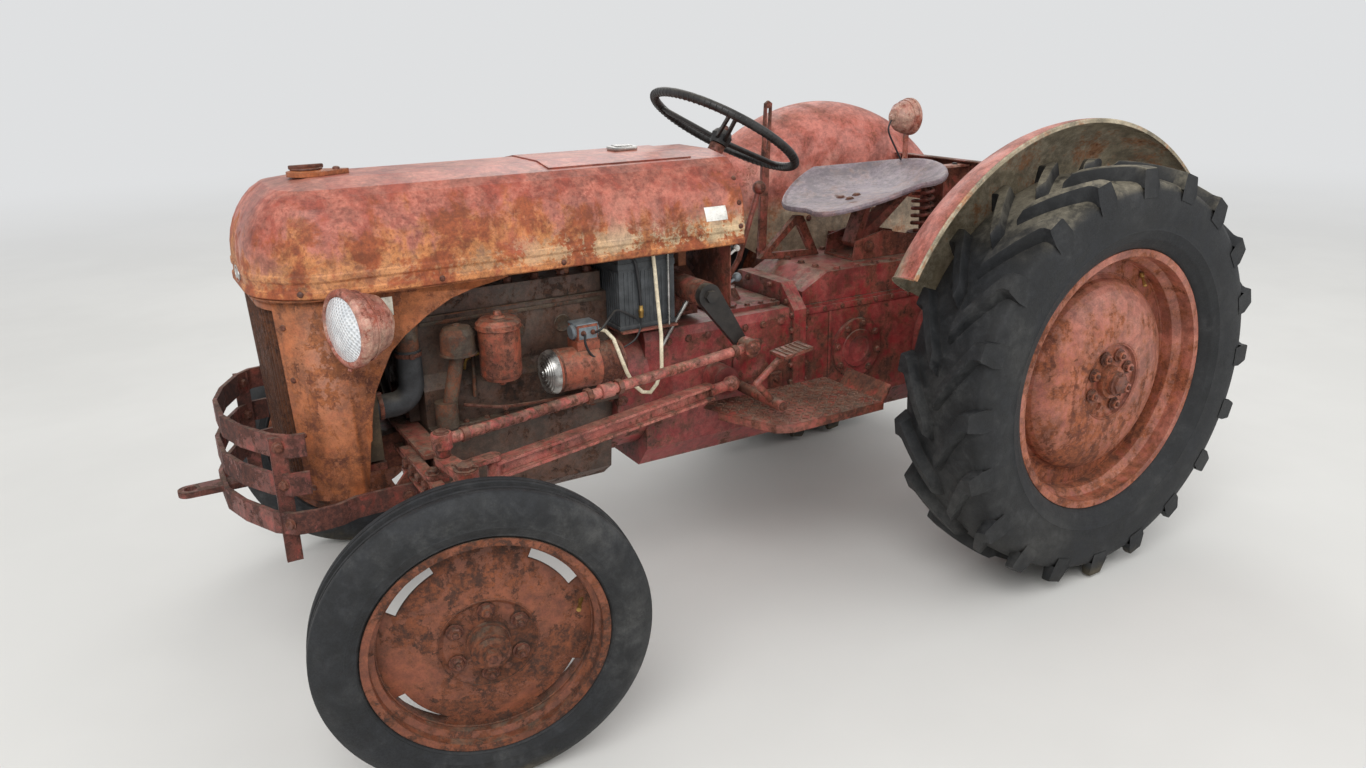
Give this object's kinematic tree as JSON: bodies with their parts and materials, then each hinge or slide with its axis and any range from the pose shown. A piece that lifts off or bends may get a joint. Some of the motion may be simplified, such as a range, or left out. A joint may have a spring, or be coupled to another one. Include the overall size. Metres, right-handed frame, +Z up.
{
  "type": "vintage utility tractor",
  "caption": "Small vintage farm tractor with an open engine, tilting hood, wrap-around bumper guard, clamshell fenders, pan seat and rear three-point hitch.",
  "frame": {"origin": "on the ground under the middle of the tractor's length and width", "axes": "+X forward toward the bumper, +Y to the tractor's left, +Z up"},
  "size_m": [3.0748, 1.604, 1.3942],
  "materials": {
    "cast_paint": "worn and rusted",
    "cast_iron": "oily and rusted",
    "sheet_paint": "faded paint with surface rust",
    "fender_paint": "faded paint outside, bare primer inside",
    "rusty_steel": "rusted",
    "wheel_paint": "rusted",
    "tyre": "dusty",
    "black_paint": "worn black",
    "black_plastic": "weathered",
    "seat_paint": "weathered",
    "battery_case": "dusty ribbed case",
    "hose_rubber": "dusty",
    "cable_jacket": "tan jacket",
    "filter_paint": "faded orange-red",
    "radiator_core": "dusty",
    "lamp_steel": "faded paint on steel"
  },
  "bodies": {
    "chassis": {"engine_block": "cast_iron", "oil_pan": "cast_iron", "cylinder_head": "cast_iron", "manifold": "cast_iron", "exhaust": "rusty_steel", "air_cleaner": "cast_iron", "oil_filter": "filter_paint", "oil_filler": "cast_iron", "starter": "filter_paint", "generator": "cast_iron", "fan": "black_paint", "radiator": "radiator_core", "hoses": "hose_rubber", "battery": "battery_case", "battery_cable": "cable_jacket", "dash_panel": "rusty_steel", "fuel_tank": "sheet_paint", "gearbox_case": "cast_paint", "centre_case": "cast_paint", "lift_cover": "cast_paint", "axle_housings": "cast_paint", "fender_left": "fender_paint", "fender_right": "fender_paint", "step_plates": "rusty_steel", "pedals": "rusty_steel", "levers": "rusty_steel", "seat": "seat_paint", "seat_support": "rusty_steel", "rear_lamp": "lamp_steel", "cross_panel": "rusty_steel", "front_axle": "rusty_steel", "radius_rods": "cast_paint", "bumper": "rusty_steel", "steering_column": "rusty_steel"},
    "hood_assembly": {"hood": "sheet_paint", "grille_shell": "sheet_paint", "grille_bars": "rusty_steel", "headlamps": "lamp_steel", "radiator_cap": "sheet_paint"},
    "filler_door": {"filler_door": "sheet_paint"},
    "knuckle_left": {"knuckle_left": "rusty_steel"},
    "knuckle_right": {"knuckle_right": "rusty_steel"},
    "front_wheel_left": {"front_wheel_left": "wheel_paint", "front_tyre_left": "tyre"},
    "front_wheel_right": {"front_wheel_right": "wheel_paint", "front_tyre_right": "tyre"},
    "rear_wheel_left": {"rear_wheel_left": "wheel_paint", "rear_tyre_left": "tyre"},
    "rear_wheel_right": {"rear_wheel_right": "wheel_paint", "rear_tyre_right": "tyre"},
    "steering_wheel": {"steering_wheel": "black_plastic"},
    "drop_arm_left": {"drop_arm_left": "black_paint"},
    "drop_arm_right": {"drop_arm_right": "black_paint"},
    "drag_link_left": {"drag_link_left": "cast_paint"},
    "drag_link_right": {"drag_link_right": "cast_paint"},
    "lift_arms": {"lift_arms": "rusty_steel"},
    "lower_links": {"lower_links": "rusty_steel"},
    "lift_rods": {"lift_rods": "rusty_steel"}
  },
  "joints": [
    {"name": "steer_left", "type": "hinge", "parent": "chassis", "child": "knuckle_left", "pos_m": [1.0234, 0.545, 0.6], "axis": [0, 0, 1], "range_deg": [-23.7, 46.3]},
    {"name": "steer_right", "type": "hinge", "parent": "chassis", "child": "knuckle_right", "pos_m": [1.0234, -0.545, 0.6], "axis": [0, 0, 1], "range_deg": [-23.7, 46.3]},
    {"name": "front_wheel_left_spin", "type": "hinge", "parent": "knuckle_left", "child": "front_wheel_left", "pos_m": [1.04593, 0.65777, 0.3514], "axis": [0.1956, 0.9789, -0.0593], "continuous": true},
    {"name": "front_wheel_right_spin", "type": "hinge", "parent": "knuckle_right", "child": "front_wheel_right", "pos_m": [1.00086, -0.65777, 0.3514], "axis": [0.1956, 0.9789, 0.0593], "continuous": true},
    {"name": "rear_wheel_left_spin", "type": "hinge", "parent": "chassis", "child": "rear_wheel_left", "pos_m": [-0.7546, 0.66, 0.595], "axis": [0, 1, 0], "continuous": true},
    {"name": "rear_wheel_right_spin", "type": "hinge", "parent": "chassis", "child": "rear_wheel_right", "pos_m": [-0.7546, -0.66, 0.595], "axis": [0, 1, 0], "continuous": true},
    {"name": "steering_wheel_turn", "type": "hinge", "parent": "chassis", "child": "steering_wheel", "pos_m": [0.02863, 0, 1.27073], "axis": [-0.515, 0, 0.8572], "range_deg": [-284.4, 555.6]},
    {"name": "drop_arm_left_swing", "type": "hinge", "parent": "chassis", "child": "drop_arm_left", "pos_m": [0.2604, 0.284, 0.885], "axis": [0, 1, 0], "range_deg": [-26.4, 13.6]},
    {"name": "drag_link_left_pivot", "type": "hinge", "parent": "drop_arm_left", "child": "drag_link_left", "pos_m": [0.15585, 0.31, 0.73725], "axis": [0, 1, 0], "range_deg": [-12.1, 23.7]},
    {"name": "drop_arm_right_swing", "type": "hinge", "parent": "chassis", "child": "drop_arm_right", "pos_m": [0.2604, -0.284, 0.885], "axis": [0, 1, 0], "range_deg": [-13.3, 26]},
    {"name": "drag_link_right_pivot", "type": "hinge", "parent": "drop_arm_right", "child": "drag_link_right", "pos_m": [0.19449, -0.31, 0.71643], "axis": [0, 1, 0], "range_deg": [-23.7, 12.1]},
    {"name": "hood_tilt", "type": "hinge", "parent": "chassis", "child": "hood_assembly", "pos_m": [1.2084, 0, 0.556], "axis": [0, 1, 0], "range_deg": [0, 22]},
    {"name": "filler_door_open", "type": "hinge", "parent": "hood_assembly", "child": "filler_door", "pos_m": [0.6304, 0, 1.234], "axis": [0, 1, 0], "range_deg": [0, 75]},
    {"name": "lift", "type": "hinge", "parent": "chassis", "child": "lift_arms", "pos_m": [-0.7796, 0, 0.812], "axis": [0, 1, 0], "range_deg": [0, 45]},
    {"name": "lower_links_swing", "type": "hinge", "parent": "chassis", "child": "lower_links", "pos_m": [-0.7746, 0, 0.405], "axis": [0, 1, 0], "range_deg": [0, 27]},
    {"name": "lift_rods_swing", "type": "hinge", "parent": "lift_arms", "child": "lift_rods", "pos_m": [-1.02108, 0, 0.7473], "axis": [0, 1, 0], "range_deg": [-42.8, 0]}
  ],
  "couplings": [
    {"joint": "steer_right", "follows": "steer_left", "ratio": 1},
    {"joint": "steering_wheel_turn", "follows": "steer_left", "ratio": 12},
    {"joint": "drop_arm_left_swing", "follows": "steer_left", "ratio": -0.57},
    {"joint": "drag_link_left_pivot", "follows": "steer_left", "ratio": 0.51},
    {"joint": "drop_arm_right_swing", "follows": "steer_left", "ratio": 0.56},
    {"joint": "drag_link_right_pivot", "follows": "steer_left", "ratio": -0.51},
    {"joint": "lower_links_swing", "follows": "lift", "ratio": 0.6},
    {"joint": "lift_rods_swing", "follows": "lift", "ratio": -0.95}
  ]
}
